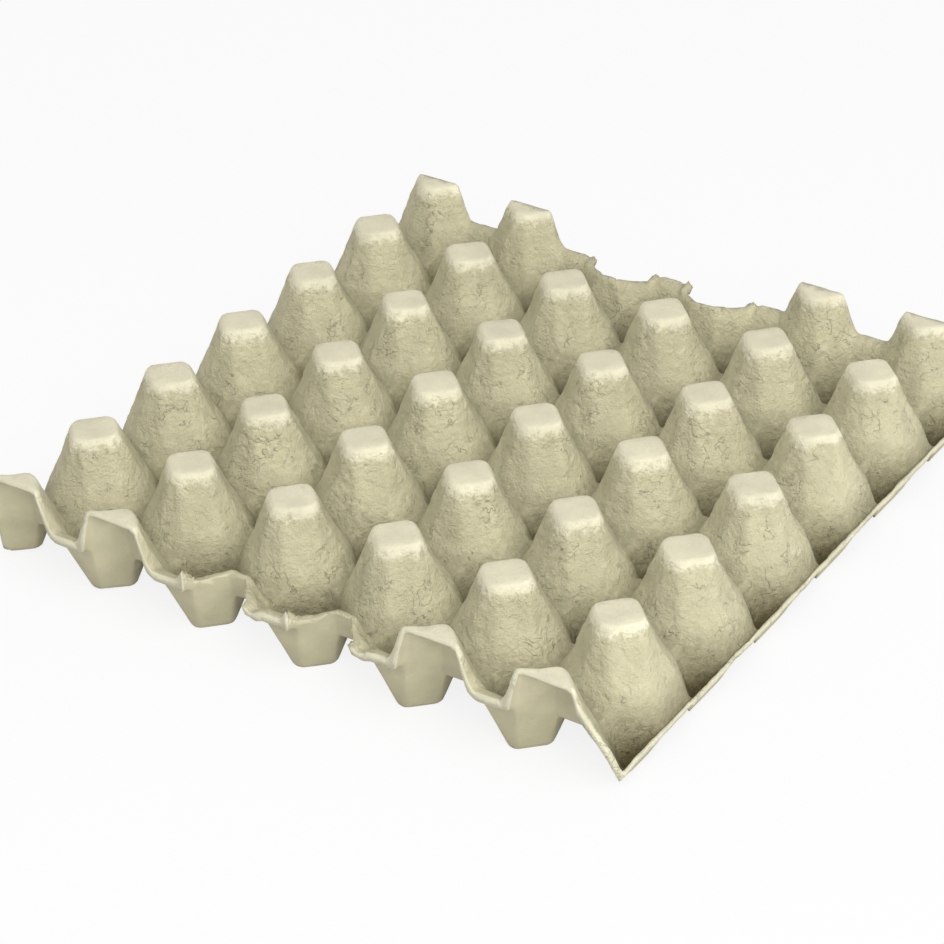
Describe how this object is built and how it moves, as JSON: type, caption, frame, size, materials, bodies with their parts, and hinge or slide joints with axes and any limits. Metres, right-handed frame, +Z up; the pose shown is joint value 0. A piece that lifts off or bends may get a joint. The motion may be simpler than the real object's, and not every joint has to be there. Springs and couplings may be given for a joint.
{
  "type": "moulded pulp egg tray",
  "caption": "Square moulded-pulp egg tray lying cup bottoms up: a grid of round cups with square tips, half posts on two edges and a low torn rim.",
  "frame": {"origin": "centre of the tray in plan, in the plane of the tips of its feet", "axes": "+Z up, the way the cup bottoms point in this pose; +X along the rows of whole cups, towards a low side rim; the half posts stand on the -Y and +Y edges"},
  "size_m": [0.297, 0.294, 0.05],
  "materials": {
    "pulp": "rough matt felt of paper fibres, pale greenish beige"
  },
  "bodies": {
    "root": {"egg_tray": "pulp"}
  },
  "joints": []
}
